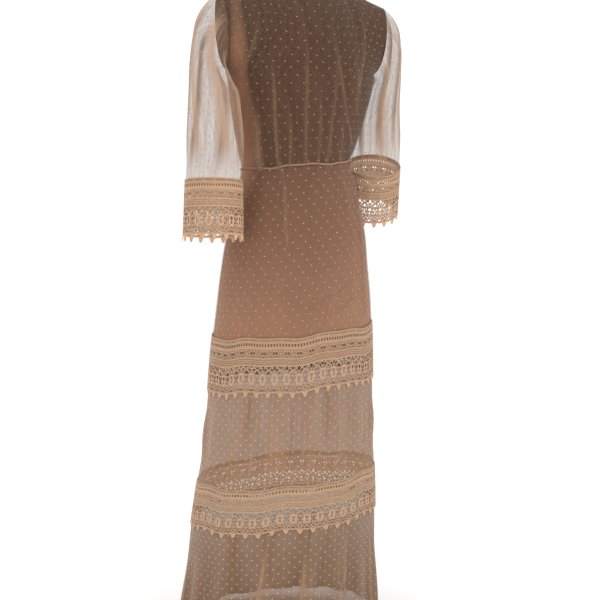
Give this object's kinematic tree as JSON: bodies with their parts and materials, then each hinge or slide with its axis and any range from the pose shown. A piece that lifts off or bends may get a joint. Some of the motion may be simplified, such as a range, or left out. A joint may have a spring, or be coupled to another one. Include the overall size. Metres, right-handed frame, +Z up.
{
  "type": "lace dress",
  "caption": "Long worn dress of dotted net over a slip lining, with guipure lace bands round the skirt and wide lace cuffs.",
  "frame": {"origin": "where the dress hangs from the shoulders, on the body's middle line and level with the sides of the neck", "axes": "+Z up, the front of the dress faces -Y, the wearer's left is +X"},
  "size_m": [0.5836, 0.4034, 1.5289],
  "materials": {
    "net": "sheer dotted net",
    "lining": "soft matt",
    "lace": "matt corded lace",
    "trim": "matt"
  },
  "bodies": {
    "root": {"bodice_back": "net", "bodice_front": "net", "skirt_upper_back": "net", "skirt_upper_front": "net", "skirt_middle_back": "net", "skirt_middle_front": "net", "skirt_lower_back": "net", "skirt_lower_front": "net", "sleeve_left": "net", "sleeve_right": "net", "lining_bodice_back": "lining", "lining_bodice_front": "lining", "lining_skirt_back": "lining", "lining_skirt_front": "lining", "band_upper_back": "lace", "band_upper_front": "lace", "band_lower_back": "lace", "band_lower_front": "lace", "cuff_left_back": "lace", "cuff_left_front": "lace", "cuff_right_back": "lace", "cuff_right_front": "lace", "waist_casing": "trim", "neck_binding": "trim"}
  },
  "joints": []
}
